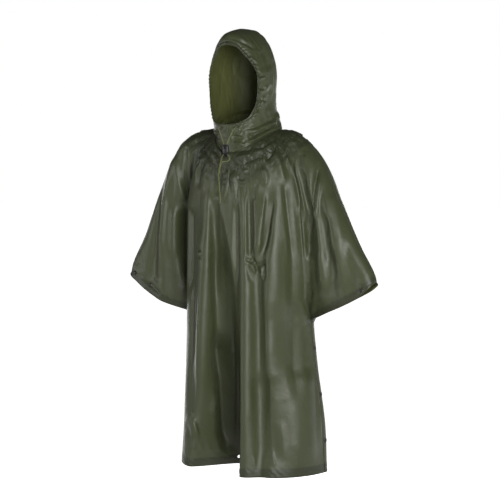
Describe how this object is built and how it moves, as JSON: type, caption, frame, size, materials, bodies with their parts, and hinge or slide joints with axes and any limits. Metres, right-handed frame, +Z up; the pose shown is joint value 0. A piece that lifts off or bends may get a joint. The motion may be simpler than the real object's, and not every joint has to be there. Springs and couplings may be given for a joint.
{
  "type": "hooded rain poncho",
  "caption": "Hooded nylon rain poncho in its worn shape: open hood, neck, snapped sleeves and hem, drawcord with cord lock.",
  "frame": {"origin": "between the wearer's shoulders, on the middle plane of the sheet at the height of the neck seam's back", "axes": "+Z up, the front faces -Y, the wearer's left is +X"},
  "size_m": [0.866, 0.298, 1.3397],
  "materials": {
    "olive_nylon": "coated plain-weave nylon with a soft sheen",
    "dark_metal": "blackened brass, satin",
    "black_plastic": "moulded, satin",
    "lime_cord": "braided round cord"
  },
  "bodies": {
    "root": {"front": "olive_nylon", "back": "olive_nylon", "hood_left": "olive_nylon", "hood_right": "olive_nylon", "neck_patch": "olive_nylon", "side_lap_left": "olive_nylon", "side_lap_right": "olive_nylon", "snap_side_left_1": "dark_metal", "snap_side_left_2": "dark_metal", "snap_side_left_3": "dark_metal", "snap_side_right_1": "dark_metal", "snap_side_right_2": "dark_metal", "snap_side_right_3": "dark_metal", "snap_cuff_front_1": "dark_metal", "snap_cuff_front_2": "dark_metal", "snap_cuff_front_3": "dark_metal", "snap_cuff_back_1": "dark_metal", "snap_cuff_back_2": "dark_metal", "snap_cuff_back_3": "dark_metal", "hem_grommet": "dark_metal", "hood_eyelet_left": "dark_metal", "hood_eyelet_right": "dark_metal", "cord_lock_body": "black_plastic", "cord_lock_button": "black_plastic", "cord_upper_left": "lime_cord", "cord_upper_right": "lime_cord", "cord_lower_left": "lime_cord", "cord_lower_right": "lime_cord"}
  },
  "joints": []
}
